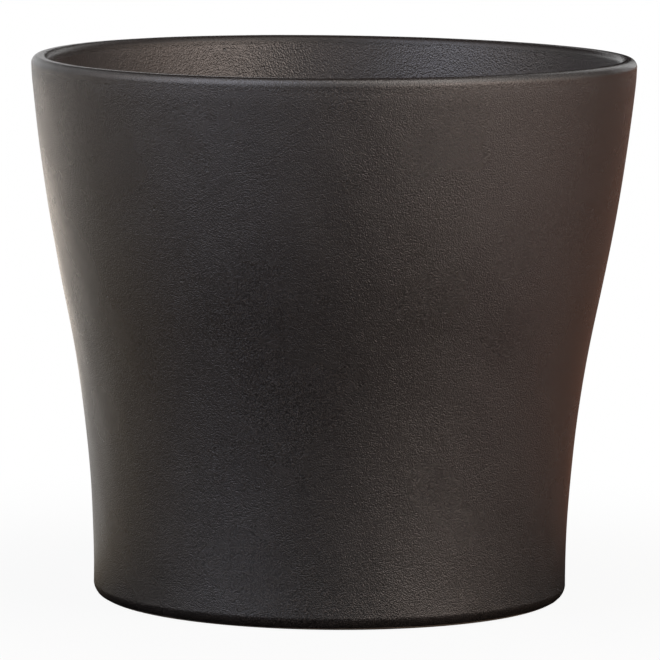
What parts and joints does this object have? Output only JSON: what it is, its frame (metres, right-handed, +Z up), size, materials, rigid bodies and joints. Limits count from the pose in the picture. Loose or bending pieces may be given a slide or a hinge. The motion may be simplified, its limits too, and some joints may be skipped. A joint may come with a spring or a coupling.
{
  "type": "candle jar",
  "caption": "Round open ceramic jar with an ogee side, thin rounded lip, flat inside floor and recessed foot, in matte black glaze.",
  "frame": {"origin": "centre of the foot ring, on the surface that the jar stands on", "axes": "+Z up the jar's axis, out of the mouth; X and Y are alike, because the jar is round"},
  "size_m": [0.1, 0.1, 0.0899],
  "materials": {
    "stoneware": "bare fired stoneware",
    "matte_black_glaze": "matte",
    "black_liner_glaze": "matte",
    "black_base_glaze": "matte"
  },
  "bodies": {
    "root": {"stoneware_body": "stoneware", "outer_glaze": "matte_black_glaze", "inner_glaze": "black_liner_glaze", "base_glaze": "black_base_glaze"}
  },
  "joints": []
}
